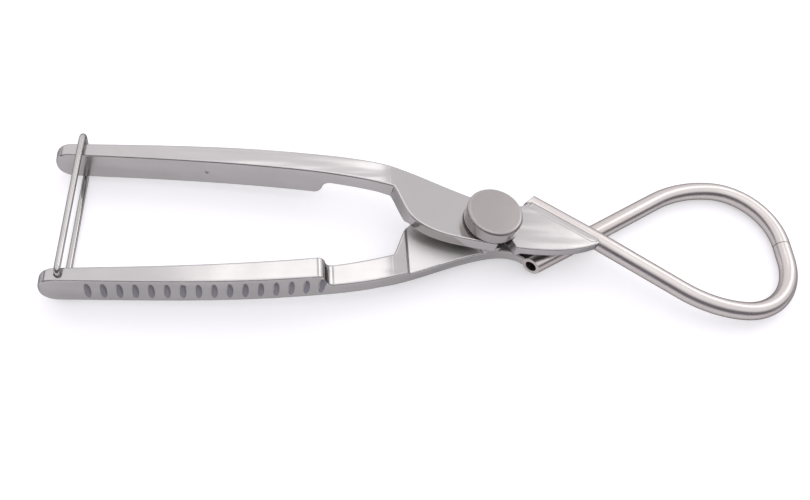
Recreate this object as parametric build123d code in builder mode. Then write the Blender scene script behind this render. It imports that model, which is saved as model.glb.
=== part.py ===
from build123d import *
import os
from math import cos, radians, sin, tan

# Millimetres. Origin on the pivot's axis, midway between the two halves.
# +X points to the tip of the loop, +Y to the upper half's handle and +Z along the pivot to the nut.

# Tubes
tube_od = 5.5
tube_bore = 3.4
tube_slant = 31.2
tube_cross_x = 29.5
tube_start_x = 13.6
mouth_angle = 40.0
limb_bend_x = 34.0
loop_half_width = 23.1
loop_shoulder_x = 67.6
loop_tip_x = 98.6
limb_bend_radius = 60.0
shoulder_straight = 0.1
tip_straight = 2.8
seam_offset = 2.5
seam_gap = 0.2

# Halves
plate_thick = 5.0
lap_gap = 0.1
lap_relief = 1.15
gusset_thick = 2.8
gusset_length = 24.4
gusset_short = 1.1
gusset_gap = 0.35
braze_gap = 0.03
boss_diameter = 14.0
bend_x = -29.0
handle_drop = 5.73
handle_end = -125.5
handle_end_y = 21.3
handle_end_width = 4.0
nose_radius = 4.9
shank_step = -47.8
shank_slant = 1.5
step_radius = 2.5
edge_radius = 0.5
outer_points = [
    (-100.0, 23.5), (-72.0, 23.1), (-50.0, 21.5), (-29.0, 17.9),
    (-12.0, 11.2), (-2.0, 7.5), (6.5, 6.0), (10.0, 6.6),
]
inner_points = [(-100.0, 18.5), (-61.0, 16.05), (-40.0, 13.2), (-28.6, 10.3)]
lock_points = [(-26.4, 4.9), (-23.9, -0.1), (-20.5, -3.0), (-6.2, -7.1), (6.7, -8.6), (25.6, -7.7)]

# Slot, stud, washer and nut
neck_diameter = 4.8
slot_clearance = 0.05
slot_angle = -63.4
rivet_clearance = 0.02
rivet_head_diameter = 8.0
rivet_angle = 90.0
thread_diameter = 4.0
thread_length = 4.0
thread_chamfer = 0.3
thread_clearance = 0.05
neck_recess = 0.05
washer_diameter = 15.6
washer_thick = 0.4
stack_clearance = 0.05
nut_diameter = 16.8
nut_height = 4.7
nut_top_chamfer = 0.6
nut_bottom_chamfer = 0.4
nut_bore_spare = 0.3

# Bail
wire_diameter = 1.8
bail_inset = 5.7
bail_lean = 2.5
bail_hole_clearance = 0.08
bail_leg_gap = 0.65
bail_side_gap = 1.75
bail_insert = 3.0
bail_hook_radius = 1.5
bail_corner_radius = 2.5

# Finger grooves and the dimple
groove_count = 16
groove_inset = 13.5
groove_pitch = 4.2
groove_width = 1.9
groove_depth = 0.35
groove_length = 7.0
dimple_inset = 43.5
dimple_diameter = 1.2
dimple_depth = 0.4

# Levels and directions worked out from the sizes above
face_z = lap_gap / 2
half_top = face_z + plate_thick
relief_z = face_z + lap_relief
gusset_z = half_top - gusset_thick
tube_z = face_z + tube_od / 2
drop = radians(handle_drop)
slant = radians(tube_slant)
lean = radians(bail_lean)
handle_normal = (-sin(drop), 0, cos(drop))
handle_run = (cos(drop), 0, sin(drop))
clear_of_all = 40.0


def handle_point(station, height):
    """Place in the XZ plane of a station along the dropped handle, at a height above its mid plane."""
    run = station - bend_x
    return (bend_x + run * cos(drop) - height * sin(drop), run * sin(drop) + height * cos(drop))


def bend_point(height):
    """Where a face at this height of the flat lock meets the same face of the dropped handle."""
    return (bend_x - height * tan(drop / 2), height)


def tube_point(x, short):
    """Place in the XY plane on the upper tube's slanting start, short of its centreline by a distance."""
    along = (x - tube_cross_x) / cos(slant)
    return (
        tube_cross_x + along * cos(slant) - short * sin(slant),
        -along * sin(slant) - short * cos(slant),
    )


# Outline of a half seen from above: handle end, outer side, tube seat, lock side, inner side
end_radius = handle_end_width / 2
outer_start = (handle_end + end_radius, handle_end_y + end_radius)
inner_start = (handle_end + end_radius, handle_end_y - end_radius)
gusset_end_x = tube_start_x + gusset_length * cos(slant)
gusset_corner = tube_point(tube_start_x, gusset_short)
gusset_tip_top = tube_point(gusset_end_x, gusset_short)
gusset_tip = tube_point(gusset_end_x, tube_od / 2 - gusset_gap)
outer_side = Spline(outer_start, *outer_points, gusset_corner)
inner_side = Spline(inner_start, *inner_points)
lock_side = Spline(inner_points[-1], *lock_points, gusset_tip)


def plan_outline(side):
    """Outline of one half seen from above, side 1 for the upper half and -1 for the lower."""
    with BuildSketch(Plane.XY.offset(-clear_of_all)) as outline:
        with BuildLine():
            add(outer_side)
            Line(gusset_corner, gusset_tip_top)
            Line(gusset_tip_top, gusset_tip)
            add(lock_side)
            add(inner_side)
            ThreePointArc(outer_start, (handle_end, handle_end_y), inner_start)
        make_face()
        if side < 0:
            mirror(about=Plane.XZ, mode=Mode.REPLACE)
    return outline.sketch


def side_profile(side):
    """Profile of one half seen along Y, side 1 for the upper half and -1 for the lower."""
    with BuildSketch(Plane.XZ.offset(-clear_of_all)) as profile:
        with BuildLine():
            Polyline(
                handle_point(handle_end, side * half_top),
                bend_point(side * half_top),
                (tube_cross_x + tube_od, side * half_top),
                (tube_cross_x + tube_od, side * gusset_z),
                (boss_diameter / 2 + 2, side * gusset_z),
                (boss_diameter / 2 + 1, side * relief_z),
                (bend_x + 5, side * relief_z),
                (bend_x + 4, side * face_z),
                bend_point(side * face_z),
                handle_point(shank_step, side * face_z),
                handle_point(shank_step - shank_slant, -side * half_top),
                handle_point(handle_end, -side * half_top),
                close=True,
            )
        make_face()
        fillet(profile.vertices().sort_by(Axis.X)[:2], nose_radius)
        step = profile.vertices().filter_by_position(Axis.X, shank_step - 6, shank_step + 6)
        fillet(step, step_radius)
    return profile.sketch


def tube_bed(side):
    """Disc across the start of a tube, as wide as the bed that the tube is brazed into."""
    x, y = tube_point(tube_start_x - 2, 0)
    plane = Plane(origin=(x, side * y, side * tube_z), z_dir=(cos(slant), -side * sin(slant), 0))
    with BuildSketch(plane) as disc:
        Circle(tube_od / 2 + braze_gap)
    return disc.sketch


def groove_wheels(side):
    """Planes of the wheels that cut the upright finger grooves, each across the handle's outer side."""
    wheel_radius = groove_length**2 / (8 * groove_depth) + groove_depth / 2
    planes = []
    for index in range(groove_count):
        length = (handle_end + groove_inset + index * groove_pitch - outer_start[0]) * cos(drop)
        spot = outer_side.position_at(length, position_mode=PositionMode.LENGTH)
        heading = outer_side.tangent_at(length, position_mode=PositionMode.LENGTH)
        reach = wheel_radius - groove_depth
        level = (spot.X - bend_x) * tan(drop)
        origin = (spot.X - reach * heading.Y, side * (spot.Y + reach * heading.X), level)
        axis = (heading.X * cos(drop), side * heading.Y, heading.X * sin(drop))
        planes.append(Plane(origin=origin, z_dir=axis))
    return planes


def groove_tool():
    """The rim of one wheel."""
    wheel_radius = groove_length**2 / (8 * groove_depth) + groove_depth / 2
    rim_radius = groove_width**2 / (8 * groove_depth) + groove_depth / 2
    return Torus(wheel_radius - rim_radius, rim_radius, mode=Mode.SUBTRACT)


def top_edges(part):
    """The curved edges of the flat faces that look up."""
    flats = part.faces().filter_by(GeomType.PLANE).filter_by(lambda f: f.normal_at().Z > 0.9)
    return flats.edges().filter_by(GeomType.BSPLINE)


def limb_points(side):
    """Corners of a tube's centreline, side 1 for the upper tube and -1 for the lower."""
    corners = [
        (*tube_point(tube_start_x - tube_od / 2, 0), tube_z),
        (*tube_point(limb_bend_x, 0), tube_z),
        (loop_shoulder_x, -loop_half_width, tube_z / 2),
        (loop_tip_x, -loop_half_width, 0),
        (loop_tip_x, side * seam_offset - seam_gap / 2, 0),
    ]
    return [Vector(x, side * y, side * z) for x, y, z in corners]


def loop_radii():
    """Radii of a tube's bends: the tip bend stops short of the seam, the shoulder bend fills the side."""
    limb_bend, shoulder, tip_corner = limb_points(1)[1:4]
    tip_radius = loop_half_width - tip_straight
    side_run = tip_corner - shoulder
    turn = radians((shoulder - limb_bend).get_angle(side_run))
    shoulder_radius = (side_run.length - tip_radius - shoulder_straight) / tan(turn / 2)
    return [limb_bend_radius, shoulder_radius, tip_radius]


def mouth_plane(side):
    """Plane of a tube's open mouth, slanted like the plate's flank beside it."""
    x, y = tube_point(tube_start_x, 0)
    return Plane(origin=(x, side * y, 0), z_dir=(sin(radians(mouth_angle)), -side * cos(radians(mouth_angle)), 0))


# Upper half: handle bar, shank and lap plate, with the open slot for the stud
with BuildPart() as upper_half:
    extrude(side_profile(1), amount=2 * clear_of_all)
    with BuildSketch(Plane.XY.offset(face_z)):
        Circle(boss_diameter / 2)
    extrude(amount=2 * lap_relief)
    extrude(plan_outline(1), amount=2 * clear_of_all, mode=Mode.INTERSECT)
    fillet(top_edges(upper_half), edge_radius)
    extrude(tube_bed(1), amount=2 * gusset_length, mode=Mode.SUBTRACT)
    slot_width = neck_diameter + 2 * slot_clearance
    slot_reach = boss_diameter
    with BuildSketch(Plane.XY):
        with Locations((slot_reach * cos(radians(slot_angle)), slot_reach * sin(radians(slot_angle)))):
            SlotCenterToCenter(2 * slot_reach, slot_width, rotation=slot_angle)
    extrude(amount=half_top + lap_gap, mode=Mode.SUBTRACT)
    with Locations(*groove_wheels(1)):
        groove_tool()
    dimple_length = (handle_end + dimple_inset - inner_start[0]) * cos(drop)
    dimple_spot = inner_side.position_at(dimple_length, position_mode=PositionMode.LENGTH)
    dimple_radius = dimple_diameter**2 / (8 * dimple_depth) + dimple_depth / 2
    dimple_y = dimple_spot.Y - dimple_radius + dimple_depth
    with Locations((dimple_spot.X, dimple_y, (dimple_spot.X - bend_x) * tan(drop))):
        Sphere(dimple_radius, mode=Mode.SUBTRACT)

# Lower half: the mirrored bar and plate, with the riveted stud's hole and the bail's hole
bail_x, bail_z = handle_point(handle_end + bail_inset, 0)
with BuildPart() as lower_half:
    extrude(side_profile(-1), amount=2 * clear_of_all)
    with BuildSketch(Plane.XY.offset(-face_z)):
        Circle(boss_diameter / 2)
    extrude(amount=-2 * lap_relief)
    extrude(plan_outline(-1), amount=2 * clear_of_all, mode=Mode.INTERSECT)
    fillet(top_edges(lower_half), edge_radius)
    extrude(tube_bed(-1), amount=2 * gusset_length, mode=Mode.SUBTRACT)
    with Locations(Plane(origin=(0, 0, -half_top), z_dir=(0, 0, -1))):
        CounterSinkHole(
            neck_diameter / 2 + rivet_clearance,
            rivet_head_diameter / 2 + rivet_clearance,
            counter_sink_angle=rivet_angle,
        )
    with Locations(*groove_wheels(-1)):
        groove_tool()
    with Locations(Plane(origin=(bail_x, -handle_end_y, bail_z), z_dir=handle_normal)):
        Cylinder(wire_diameter / 2 + bail_hole_clearance, 4 * half_top, mode=Mode.SUBTRACT)

# Tubes: the two limbs of the loop
with BuildPart() as upper_tube:
    with BuildLine() as upper_path:
        FilletPolyline(*limb_points(1), radius=loop_radii())
    with BuildSketch(Plane(origin=upper_path.line @ 0, z_dir=upper_path.line % 0)):
        Circle(tube_od / 2)
        Circle(tube_bore / 2, mode=Mode.SUBTRACT)
    sweep()
    split(bisect_by=mouth_plane(1), keep=Keep.TOP)

with BuildPart() as lower_tube:
    with BuildLine() as lower_path:
        FilletPolyline(*limb_points(-1), radius=loop_radii())
    with BuildSketch(Plane(origin=lower_path.line @ 0, z_dir=lower_path.line % 0)):
        Circle(tube_od / 2)
        Circle(tube_bore / 2, mode=Mode.SUBTRACT)
    sweep()
    split(bisect_by=mouth_plane(-1), keep=Keep.TOP)

# Pivot stud: countersunk rivet head, neck in both plates, threaded end
neck_top = half_top - neck_recess
thread_top = neck_top + thread_length
rivet_depth = (rivet_head_diameter - neck_diameter) / 2 / tan(radians(rivet_angle / 2))
with BuildPart() as pivot_stud:
    with BuildSketch(Plane.XZ):
        with BuildLine():
            Polyline(
                (0, -half_top),
                (rivet_head_diameter / 2, -half_top),
                (neck_diameter / 2, rivet_depth - half_top),
                (neck_diameter / 2, neck_top),
                (thread_diameter / 2, neck_top),
                (thread_diameter / 2, thread_top - thread_chamfer),
                (thread_diameter / 2 - thread_chamfer, thread_top),
                (0, thread_top),
                close=True,
            )
        make_face()
    revolve(axis=Axis.Z)

# Washer under the nut
washer_z = half_top + stack_clearance
with BuildPart() as knob_washer:
    with BuildSketch(Plane.XY.offset(washer_z)):
        Circle(washer_diameter / 2)
        Circle(thread_diameter / 2 + thread_clearance, mode=Mode.SUBTRACT)
    extrude(amount=washer_thick)

# Thumb nut with a blind bore
nut_z = washer_z + washer_thick + stack_clearance
with BuildPart() as thumb_nut:
    with BuildSketch(Plane.XY.offset(nut_z)):
        Circle(nut_diameter / 2)
    extrude(amount=nut_height)
    chamfer(thumb_nut.edges().sort_by(Axis.Z)[-1], nut_top_chamfer)
    chamfer(thumb_nut.edges().sort_by(Axis.Z)[0], nut_bottom_chamfer)
    with BuildSketch(Plane.XY.offset(nut_z)):
        Circle(thread_diameter / 2 + thread_clearance)
    extrude(amount=thread_top + nut_bore_spare - nut_z, mode=Mode.SUBTRACT)

# Bail: round wire, both ends hooked into the lower handle's hole, closed round the upper handle
leg_height = half_top + bail_leg_gap + wire_diameter / 2
bail_span = (2 * handle_end_y + handle_end_width / 2 + bail_side_gap + wire_diameter / 2) / cos(lean)
hook_end = half_top - bail_insert
across = Vector(0, 1, 0)
along = Vector(*handle_run)
bail_plane = Plane(
    origin=(bail_x, -handle_end_y, bail_z),
    x_dir=across * cos(lean) + along * sin(lean),
    z_dir=along * cos(lean) - across * sin(lean),
)
with BuildPart() as locking_bail:
    with BuildLine(bail_plane) as bail_path:
        FilletPolyline(
            (0, hook_end),
            (0, leg_height),
            (bail_span, leg_height),
            (bail_span, -leg_height),
            (0, -leg_height),
            (0, -hook_end),
            radius=[bail_hook_radius, bail_corner_radius, bail_corner_radius, bail_hook_radius],
        )
    with BuildSketch(Plane(origin=bail_path.line @ 0, z_dir=bail_path.line % 0)):
        Circle(wire_diameter / 2)
    sweep()

os.makedirs("parts", exist_ok=True)
upper_half.part.label = "upper_half"
export_step(upper_half.part, "parts/upper_half.step")
lower_half.part.label = "lower_half"
export_step(lower_half.part, "parts/lower_half.step")
upper_tube.part.label = "upper_tube"
export_step(upper_tube.part, "parts/upper_tube.step")
lower_tube.part.label = "lower_tube"
export_step(lower_tube.part, "parts/lower_tube.step")
pivot_stud.part.label = "pivot_stud"
export_step(pivot_stud.part, "parts/pivot_stud.step")
knob_washer.part.label = "knob_washer"
export_step(knob_washer.part, "parts/knob_washer.step")
thumb_nut.part.label = "thumb_nut"
export_step(thumb_nut.part, "parts/thumb_nut.step")
locking_bail.part.label = "locking_bail"
export_step(locking_bail.part, "parts/locking_bail.step")
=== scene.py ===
# Surgical wire passer: two crossed bar handles, a lap joint with a thumb nut, and a loop of two bent tubes
import math
import bpy
from mathutils import Matrix, Vector


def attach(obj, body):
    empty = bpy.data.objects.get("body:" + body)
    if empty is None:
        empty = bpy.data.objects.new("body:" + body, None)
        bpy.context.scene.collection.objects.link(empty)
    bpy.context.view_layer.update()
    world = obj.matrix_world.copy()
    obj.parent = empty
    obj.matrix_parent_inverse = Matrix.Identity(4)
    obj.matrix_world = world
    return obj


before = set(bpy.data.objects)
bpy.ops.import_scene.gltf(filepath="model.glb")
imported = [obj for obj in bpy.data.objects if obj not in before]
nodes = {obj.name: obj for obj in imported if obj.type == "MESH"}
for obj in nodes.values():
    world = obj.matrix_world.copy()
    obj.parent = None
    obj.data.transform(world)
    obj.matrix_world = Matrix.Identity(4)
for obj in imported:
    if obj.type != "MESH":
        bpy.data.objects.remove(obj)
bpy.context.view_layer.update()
scene = bpy.context.scene
print("stage: frame loaded")


def toLinear(hexColour):
    channels = [int(hexColour[i:i + 2], 16) / 255 for i in (1, 3, 5)]
    return [c / 12.92 if c <= 0.04045 else ((c + 0.055) / 1.055) ** 2.4 for c in channels] + [1.0]


def addNode(tree, kind, settings, inputs):
    made = tree.nodes.new(kind)
    for name, value in settings.items():
        setattr(made, name, value)
    for name, value in inputs.items():
        socket = made.inputs[name]
        if isinstance(value, bpy.types.NodeSocket):
            tree.links.new(value, socket)
        else:
            socket.default_value = value
    return made


def newMaterial(name):
    material = bpy.data.materials.new(name)
    material.use_nodes = True
    material.node_tree.nodes.clear()
    return material, material.node_tree


# Each half bends down where its flat lock ends and its handle starts
bendX, bendDrop = -0.029, math.radians(5.73)


# Clouds about a centimetre wide vary the tint and the wear of every steel a little
def addTintAndWear(tree, place, style):
    cloud = addNode(tree, "ShaderNodeTexNoise", {}, {
        "Vector": place.outputs["Object"], "Scale": 1000 / style["cloudMm"], "Detail": 4.0,
    })
    tint = addNode(tree, "ShaderNodeMix", {"data_type": "RGBA"}, {
        "Factor": cloud.outputs["Fac"], "A": toLinear(style["tint"]), "B": toLinear(style["shade"]),
    })
    smoother, rougher = style["wear"]
    wear = addNode(tree, "ShaderNodeMapRange", {}, {
        "Value": cloud.outputs["Fac"], "From Min": 0.3, "From Max": 0.7,
        "To Min": smoother, "To Max": rougher,
    })
    return tint, wear


def finishSteel(tree, tint, wear, roughness, bump, style):
    rough = addNode(tree, "ShaderNodeMath", {"operation": "ADD", "use_clamp": True}, {
        0: roughness, 1: wear.outputs[0],
    })
    shader = addNode(tree, "ShaderNodeBsdfPrincipled", {}, {
        "Metallic": 1.0, "Base Color": tint.outputs["Result"],
        "Specular Tint": toLinear(style["rimTint"]),
        "Roughness": rough.outputs[0], "Normal": bump.outputs[0],
    })
    addNode(tree, "ShaderNodeOutputMaterial", {}, {"Surface": shader.outputs[0]})


# Stainless steel, ground along the handles and polished: the eye gets bright flowing streaks and dark edges
barSteel = {
    "tint": "#bfbcbb", "shade": "#aeabaa", "cloudMm": 14.286,
    "rimTint": "#8a8a8a",  # steel darkens where it is seen at a grazing angle
    "roughness": 0.14, "lockRoughness": 0.17, "wear": (-0.035, 0.045),  # roughness strays this far
    "grainPerMm": 9.0,  # belt lines are finer than this, drawn this coarse to show at all
    "grainLongMm": 16.667, "bumpMm": 0.0035,
    "waveLongMm": 45.0, "waveShortMm": 5.0, "waveMm": 0.22,  # hollows left by hand polishing on the wheel
    "easedMm": 0.35,  # edges broken by the wheel
    "lockEdgeX": bendX, "fade": 0.003,  # the handle's polish gives way to that of the lock
    "bendDrop": bendDrop, "bendReach": 0.004,  # the polishing has softened the bend this far
}


def addSoftBend(tree, split, normal, style):
    edge, reach, eased = style["lockEdgeX"], style["bendReach"], style["easedMm"] / 1000
    past = addNode(tree, "ShaderNodeMath", {"operation": "MULTIPLY_ADD"}, {
        0: split.outputs["Z"], 1: math.tan(style["bendDrop"] / 2), 2: split.outputs["X"],
    })
    share = addNode(tree, "ShaderNodeMapRange", {"interpolation_type": "SMOOTHSTEP"}, {
        "Value": past.outputs[0], "From Min": edge - reach, "From Max": edge + reach,
        "To Min": -math.sin(style["bendDrop"]), "To Max": 0.0,
    })
    onHandle = addNode(tree, "ShaderNodeMapRange", {}, {
        "Value": past.outputs[0], "From Min": edge - eased, "From Max": edge + eased,
        "To Min": 1.0, "To Max": 0.0,
    })
    turn = addNode(tree, "ShaderNodeMath", {"operation": "MULTIPLY_ADD"}, {
        0: onHandle.outputs[0], 1: math.sin(style["bendDrop"]), 2: share.outputs[0],
    })
    facing = addNode(tree, "ShaderNodeSeparateXYZ", {}, {"Vector": normal.outputs[0]})
    signed = addNode(tree, "ShaderNodeMath", {"operation": "MULTIPLY"}, {
        0: turn.outputs[0], 1: facing.outputs["Z"],
    })
    tilt = addNode(tree, "ShaderNodeCombineXYZ", {}, {"X": signed.outputs[0]})
    added = addNode(tree, "ShaderNodeVectorMath", {"operation": "ADD"}, {
        0: normal.outputs[0], 1: tilt.outputs[0],
    })
    return addNode(tree, "ShaderNodeVectorMath", {"operation": "NORMALIZE"}, {0: added.outputs[0]})


def makeBarSteel(name, style):
    material, tree = newMaterial(name)
    place = addNode(tree, "ShaderNodeTexCoord", {}, {})
    split = addNode(tree, "ShaderNodeSeparateXYZ", {}, {"Vector": place.outputs["Object"]})
    tint, wear = addTintAndWear(tree, place, style)
    along, across = 1000 / style["grainLongMm"], style["grainPerMm"] * 1000
    stretch = addNode(tree, "ShaderNodeMapping", {}, {
        "Vector": place.outputs["Object"], "Scale": (along, across, across),
    })
    grain = addNode(tree, "ShaderNodeTexNoise", {}, {
        "Vector": stretch.outputs[0], "Scale": 1.0, "Detail": 3.0,
    })
    long, short = 1000 / style["waveLongMm"], 1000 / style["waveShortMm"]
    drawn = addNode(tree, "ShaderNodeMapping", {}, {
        "Vector": place.outputs["Object"], "Scale": (long, short, short),
    })
    wave = addNode(tree, "ShaderNodeTexNoise", {}, {
        "Vector": drawn.outputs[0], "Scale": 1.0, "Detail": 1.0,
    })
    lockSide = addNode(tree, "ShaderNodeMapRange", {"interpolation_type": "SMOOTHSTEP"}, {
        "Value": split.outputs["X"],
        "From Min": style["lockEdgeX"] - style["fade"], "From Max": style["lockEdgeX"] + style["fade"],
        "To Min": style["roughness"], "To Max": style["lockRoughness"],
    })
    eased = addNode(tree, "ShaderNodeBevel", {"samples": 4}, {"Radius": style["easedMm"] / 1000})
    bent = addSoftBend(tree, split, eased, style)
    hollow = addNode(tree, "ShaderNodeBump", {}, {
        "Height": wave.outputs["Fac"], "Strength": 1.0, "Distance": style["waveMm"] / 1000,
        "Normal": bent.outputs[0],
    })
    bump = addNode(tree, "ShaderNodeBump", {}, {
        "Height": grain.outputs["Fac"], "Strength": 0.5, "Distance": style["bumpMm"] / 1000,
        "Normal": hollow.outputs[0],
    })
    finishSteel(tree, tint, wear, lockSide.outputs[0], bump, style)
    return material


# Drawn stainless tube and wire: the eye gets a soft pale band along the top and a darker one below it
drawnSteel = {
    "tint": "#cdc7c4", "shade": "#c0bab7", "cloudMm": 11.111, "rimTint": "#707070",
    "roughness": 0.28, "wear": (-0.04, 0.05), "speckPerMm": 5.0, "bumpMm": 0.003,
}
wireSteel = {
    **drawnSteel, "tint": "#bdbab8", "shade": "#aba8a6",
    "roughness": 0.14, "speckPerMm": 4.0, "bumpMm": 0.0015,
}


def makeDrawnSteel(name, style):
    material, tree = newMaterial(name)
    place = addNode(tree, "ShaderNodeTexCoord", {}, {})
    tint, wear = addTintAndWear(tree, place, style)
    speck = addNode(tree, "ShaderNodeTexNoise", {}, {
        "Vector": place.outputs["Object"], "Scale": style["speckPerMm"] * 1000, "Detail": 2.0,
    })
    bump = addNode(tree, "ShaderNodeBump", {}, {
        "Height": speck.outputs["Fac"], "Strength": 0.5, "Distance": style["bumpMm"] / 1000,
    })
    finishSteel(tree, tint, wear, style["roughness"], bump, style)
    return material


# Turned stainless nut, washer and stud: the eye gets a dull even grey, and the lathe's rings from close by
turnedSteel = {
    "tint": "#aaa4a2", "shade": "#9c9796", "cloudMm": 8.333,
    "rimTint": "#ffffff",  # nothing darkens here, so the rim stays light
    "roughness": 0.22, "wear": (-0.04, 0.05), "ringPerMm": 3.0, "bumpMm": 0.002, "easedMm": 0.9,
}


def makeTurnedSteel(name, style):
    material, tree = newMaterial(name)
    place = addNode(tree, "ShaderNodeTexCoord", {}, {})
    tint, wear = addTintAndWear(tree, place, style)
    flat = addNode(tree, "ShaderNodeMapping", {}, {
        "Vector": place.outputs["Object"], "Scale": (1.0, 1.0, 0.0),
    })
    radius = addNode(tree, "ShaderNodeVectorMath", {"operation": "LENGTH"}, {0: flat.outputs[0]})
    ring = addNode(tree, "ShaderNodeTexNoise", {"noise_dimensions": "1D"}, {
        "W": radius.outputs["Value"], "Scale": style["ringPerMm"] * 1000, "Detail": 2.0,
    })
    eased = addNode(tree, "ShaderNodeBevel", {"samples": 8}, {"Radius": style["easedMm"] / 1000})
    bump = addNode(tree, "ShaderNodeBump", {}, {
        "Height": ring.outputs["Fac"], "Strength": 0.5, "Distance": style["bumpMm"] / 1000,
        "Normal": eased.outputs[0],
    })
    finishSteel(tree, tint, wear, style["roughness"], bump, style)
    return material


def dress(nodeName, material):
    piece = nodes[nodeName]
    piece.data.materials.clear()
    piece.data.materials.append(material)
    for face in piece.data.polygons:
        face.material_index = 0


barFinish = makeBarSteel("polished ground steel", barSteel)
tubeFinish = makeDrawnSteel("satin drawn steel", drawnSteel)
wireFinish = makeDrawnSteel("bright drawn wire", wireSteel)
nutFinish = makeTurnedSteel("turned steel", turnedSteel)
for name in ("upper_half", "lower_half"):
    dress(name, barFinish)
for name in ("upper_tube", "lower_tube"):
    dress(name, tubeFinish)
for name in ("thumb_nut", "knob_washer", "pivot_stud"):
    dress(name, nutFinish)
dress("locking_bail", wireFinish)
print("stage: steel finishes")


def addFinish(nodeName, material):
    mesh = nodes[nodeName].data
    mesh.materials.append(material)
    return mesh, len(mesh.materials) - 1


# Finger grooves, left dull from the cutter and tinted darker as painted shade in their hollows: the eye
# gets a row of grey notches in the bright handle
grooves = {
    "first": -0.112, "pitch": 0.0042, "count": 16, "halfWidth": 0.00102, "halfLength": 0.0037,
    "bendX": bendX, "drop": bendDrop,
    "sideY": 0.0198,  # nothing nearer to the middle than this belongs to a groove
}
shadedGrooveSteel = {
    # the darker tint is painted shade in the grooves' hollows; the higher roughness is the cutter's dull
    # finish
    **barSteel, "tint": "#939197", "shade": "#838187",
    "roughness": 0.3, "lockRoughness": 0.3, "waveMm": 0.0,
}


def dullAndShadeGrooves(nodeName, style, material):
    mesh, finishIndex = addFinish(nodeName, material)
    slope, level = math.tan(style["drop"]), math.cos(style["drop"])
    stations = [style["first"] + index * style["pitch"] for index in range(style["count"])]
    for face in mesh.polygons:
        corners = [mesh.vertices[v].co for v in face.vertices]
        if min(abs(c.y) for c in corners) < style["sideY"]:
            continue
        # how far each corner lies from the handle's sloping middle line
        heights = [abs((c.z - (c.x - style["bendX"]) * slope) * level) for c in corners]
        if max(heights) > style["halfLength"]:
            continue
        if any(all(abs(c.x - x) < style["halfWidth"] for c in corners) for x in stations):
            face.material_index = finishIndex


shadedGrooveFinish = makeBarSteel("dull grooved steel with painted shade", shadedGrooveSteel)
for name in ("upper_half", "lower_half"):
    dullAndShadeGrooves(name, grooves, shadedGrooveFinish)
print("stage: finger grooves")


# Lap relief, milled back between the plates and left matt, and tinted lighter than the bar as painted
# light: the eye gets a pale grey, clear of reflections
relief = {
    "startX": -0.02506, "depth": 0.00125,  # the depth is a little over the relief's own
    "facing": 0.5,  # only faces that look mostly up or down belong to it
}
paintedLightReliefSteel = {
    # the lighter tint is painted light on the lap faces; the higher roughness is their matt milled finish
    **barSteel, "tint": "#dedbda", "shade": "#d2cfce",
    "roughness": 0.4, "lockRoughness": 0.4, "waveMm": 0.0,
}


def mattReliefWithPaintedLight(nodeName, style, material):
    mesh, finishIndex = addFinish(nodeName, material)
    for face in mesh.polygons:
        corners = [mesh.vertices[v].co for v in face.vertices]
        inside = all(c.x > style["startX"] and abs(c.z) < style["depth"] for c in corners)
        if inside and abs(face.normal.z) > style["facing"]:
            face.material_index = finishIndex


paintedLightReliefFinish = makeBarSteel("matt milled steel with painted light", paintedLightReliefSteel)
for name in ("upper_half", "lower_half"):
    mattReliefWithPaintedLight(name, relief, paintedLightReliefFinish)
print("stage: lap relief")


# Braze run along each tube: it fills the corner between the tube's crest and the flat of its plate
braze = {
    "crossX": 0.0295, "startX": 0.0136, "slant": math.radians(31.2), "length": 0.0244,
    "tubeZ": 0.0028, "tubeRadius": 0.00275, "plateTop": 0.00505,
    "crest": 0.0012, "reach": 0.0034,  # it runs from this far off the tube's middle to this far
    "tipReach": 0.0025, "narrowing": 0.5, "inset": 0.0008,  # it narrows and stops short at both ends
    "lift": 0.000004,  # its thin edge ends this little above the plate
    "sunk": 0.0004, "stepsAlong": 40, "stepsAcross": 8,
}


def makeBraze(name, side, style, material):
    cosine, sine = math.cos(style["slant"]), math.sin(style["slant"])
    vertices, faces = [], []
    rows = style["stepsAlong"] + 1
    crestZ = style["tubeZ"] + math.sqrt(style["tubeRadius"] ** 2 - style["crest"] ** 2)
    for row in range(rows):
        along = style["inset"] + (style["length"] - 2 * style["inset"]) * row / style["stepsAlong"]
        left = style["length"] - style["inset"] - along
        reach = min(style["reach"], style["tipReach"] + min(left, along) * style["narrowing"])
        x = style["startX"] + along * cosine
        y = (style["crossX"] - x) / cosine * sine
        top = []
        for step in range(style["stepsAcross"] + 1):
            share = step / style["stepsAcross"]
            inward = style["crest"] + (reach - style["crest"]) * share
            height = style["plateTop"] + style["lift"] + (crestZ - style["plateTop"]) * (1 - share) ** 2
            top.append((x - inward * sine, y - inward * cosine, height))
        low = [(*end[:2], style["plateTop"] - style["sunk"]) for end in (top[-1], top[0])]
        vertices += [(px, side * py, side * pz) for px, py, pz in top + low]
    ring = len(top + low)
    for row in range(rows - 1):
        for step in range(ring):
            a, b = row * ring + step, row * ring + (step + 1) % ring
            faces.append((a, b, b + ring, a + ring))
    faces += [tuple(range(ring)), tuple(reversed(range((rows - 1) * ring, rows * ring)))]
    mesh = bpy.data.meshes.new(name)
    mesh.from_pydata(vertices, [], faces)
    mesh.materials.append(material)
    for index, face in enumerate(mesh.polygons[:-2]):  # the last two faces close the ends
        face.use_smooth = index % ring < style["stepsAcross"]
    run = bpy.data.objects.new(name, mesh)
    scene.collection.objects.link(run)
    return run


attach(makeBraze("upper_braze", 1, braze, barFinish), "upper")
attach(makeBraze("lower_braze", -1, braze, barFinish), "lower")
print("stage: braze runs")


# The table touches the bail's lower leg and the underside of the loop's tip
table = {
    "bailFoot": (-0.1187, -0.01653), "tipFoot": (0.0986, -0.00277),  # x and z of the two places it touches
    "halfSize": 1.6,
    "colour": "#cfcdd2", "roughness": 0.6,  # painted board: the eye gets an even white with soft shadows
    "glow": 0.45,  # the glow is seen, and seen in the steel, but lights nothing
    "mirrored": 0.72,  # share of the glow that the steel shows
}


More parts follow.
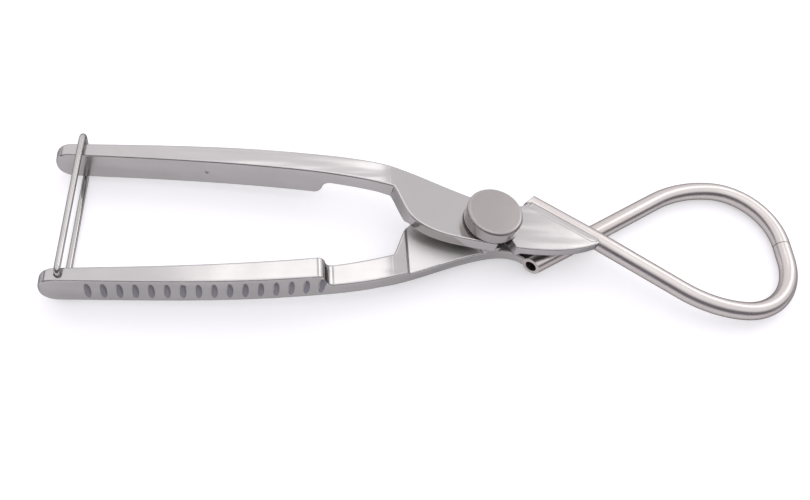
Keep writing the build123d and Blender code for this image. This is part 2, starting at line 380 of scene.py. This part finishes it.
def makeTable(style):
    (x0, z0), (x1, z1) = style["bailFoot"], style["tipFoot"]
    slope = (z1 - z0) / (x1 - x0)
    half = style["halfSize"]
    corners = [(sx * half, sy * half) for sx, sy in ((-1, -1), (1, -1), (1, 1), (-1, 1))]
    mesh = bpy.data.meshes.new("table")
    mesh.from_pydata([(x, y, z0 + (x - x0) * slope) for x, y in corners], [], [(0, 1, 2, 3)])
    board = bpy.data.objects.new("table", mesh)
    scene.collection.objects.link(board)
    material, tree = newMaterial("white board")
    path = addNode(tree, "ShaderNodeLightPath", {}, {})
    mirrored = addNode(tree, "ShaderNodeMath", {"operation": "MULTIPLY"}, {
        0: path.outputs["Is Glossy Ray"], 1: style["mirrored"],
    })
    seen = addNode(tree, "ShaderNodeMath", {"operation": "MAXIMUM"}, {
        0: path.outputs["Is Camera Ray"], 1: mirrored.outputs[0],
    })
    through = addNode(tree, "ShaderNodeMath", {"operation": "MAXIMUM"}, {
        0: seen.outputs[0], 1: path.outputs["Is Transmission Ray"],
    })
    glow = addNode(tree, "ShaderNodeMath", {"operation": "MULTIPLY"}, {
        0: through.outputs[0], 1: style["glow"],
    })
    shader = addNode(tree, "ShaderNodeBsdfPrincipled", {}, {
        "Base Color": toLinear(style["colour"]), "Roughness": style["roughness"],
        "Emission Color": (1.0, 1.0, 1.0, 1.0), "Emission Strength": glow.outputs[0],
    })
    addNode(tree, "ShaderNodeOutputMaterial", {}, {"Surface": shader.outputs[0]})
    mesh.materials.append(material)


makeTable(table)

# Camera where the photograph's perspective puts it, in the part's own frame
viewPoint = {
    "place": (-0.09024, -0.17603, 0.24508),
    "right": (0.9746, -0.06385, 0.21465), "down": (0.06669, -0.83228, -0.55034),
    "ahead": (0.21379, 0.55067, -0.80688),
    "focalPixels": 1055.44, "widePixels": 810, "sensorMm": 36.0, "nearest": 0.01,
}


def makeCamera(style):
    data = bpy.data.cameras.new("camera")
    data.sensor_width = style["sensorMm"]
    data.lens = style["focalPixels"] * style["sensorMm"] / style["widePixels"]
    data.clip_start = style["nearest"]
    camera = bpy.data.objects.new("camera", data)
    right, down, ahead = (Vector(style[k]) for k in ("right", "down", "ahead"))
    turn = Matrix((right, -down, -ahead)).transposed().to_4x4()
    camera.matrix_world = Matrix.Translation(style["place"]) @ turn
    scene.collection.objects.link(camera)
    scene.camera = camera


makeCamera(viewPoint)

# Lamps behind and above the object
lamps = {
    # the flat tops show window and panel as pale patches, the ceiling lamp draws a line along round edges
    "window": {"place": (-0.08, 0.40, 0.70), "size": 0.24, "power": 0.16},
    "panel": {"place": (0.52, 0.42, 0.66), "size": 0.36, "power": 0.55},
    "ceiling": {"place": (0.03, -0.06, 0.90), "size": 0.50, "power": 0.34},
}
for name, style in lamps.items():
    data = bpy.data.lights.new(name, "AREA")
    data.shape = "SQUARE"
    data.size = style["size"]
    data.energy = style["power"]
    lamp = bpy.data.objects.new(name, data)
    lamp.location = style["place"]
    lamp.rotation_euler = (-Vector(style["place"])).to_track_quat("-Z", "Y").to_euler()
    scene.collection.objects.link(lamp)

# Room round the table: pale, with a grey wall in front that the tubes show as a dark band
room = {
    "pale": "#f4f3f6", "wall": "#65626a", "strength": 1.36,
    "paleTowards": (0.0, 0.45, 0.893), "wallEdge": 0.22, "paleEdge": 0.40,
    # a duller patch of ceiling behind the joint, which the flat lock shows as grey
    "dull": 1.14, "dullTowards": (0.23, 0.575, 0.785), "dullInner": 0.992, "dullOuter": 0.980,
}


def makeRoom(style):
    world = bpy.data.worlds.new("room")
    world.use_nodes = True
    tree = world.node_tree
    tree.nodes.clear()
    place = addNode(tree, "ShaderNodeTexCoord", {}, {})
    lean = addNode(tree, "ShaderNodeVectorMath", {"operation": "DOT_PRODUCT"}, {
        0: place.outputs["Generated"], 1: style["paleTowards"],
    })
    height = addNode(tree, "ShaderNodeMapRange", {"interpolation_type": "SMOOTHSTEP"}, {
        "Value": lean.outputs["Value"], "From Min": style["wallEdge"], "From Max": style["paleEdge"],
    })
    tint = addNode(tree, "ShaderNodeMix", {"data_type": "RGBA"}, {
        "Factor": height.outputs[0], "A": toLinear(style["wall"]), "B": toLinear(style["pale"]),
    })
    near = addNode(tree, "ShaderNodeVectorMath", {"operation": "DOT_PRODUCT"}, {
        0: place.outputs["Generated"], 1: style["dullTowards"],
    })
    strength = addNode(tree, "ShaderNodeMapRange", {"interpolation_type": "SMOOTHSTEP"}, {
        "Value": near.outputs["Value"], "From Min": style["dullOuter"], "From Max": style["dullInner"],
        "To Min": style["strength"], "To Max": style["dull"],
    })
    sky = addNode(tree, "ShaderNodeBackground", {}, {
        "Color": tint.outputs["Result"], "Strength": strength.outputs[0],
    })
    # the camera itself sees plain white beyond the table
    beyond = addNode(tree, "ShaderNodeBackground", {}, {"Color": (1.0, 1.0, 1.0, 1.0), "Strength": 1.0})
    path = addNode(tree, "ShaderNodeLightPath", {}, {})
    seen = addNode(tree, "ShaderNodeMixShader", {}, {
        0: path.outputs["Is Camera Ray"], 1: sky.outputs[0], 2: beyond.outputs[0],
    })
    addNode(tree, "ShaderNodeOutputWorld", {}, {"Surface": seen.outputs[0]})
    scene.world = world


makeRoom(room)
scene.view_settings.view_transform = "Standard"
print("stage: table, camera and lamps")
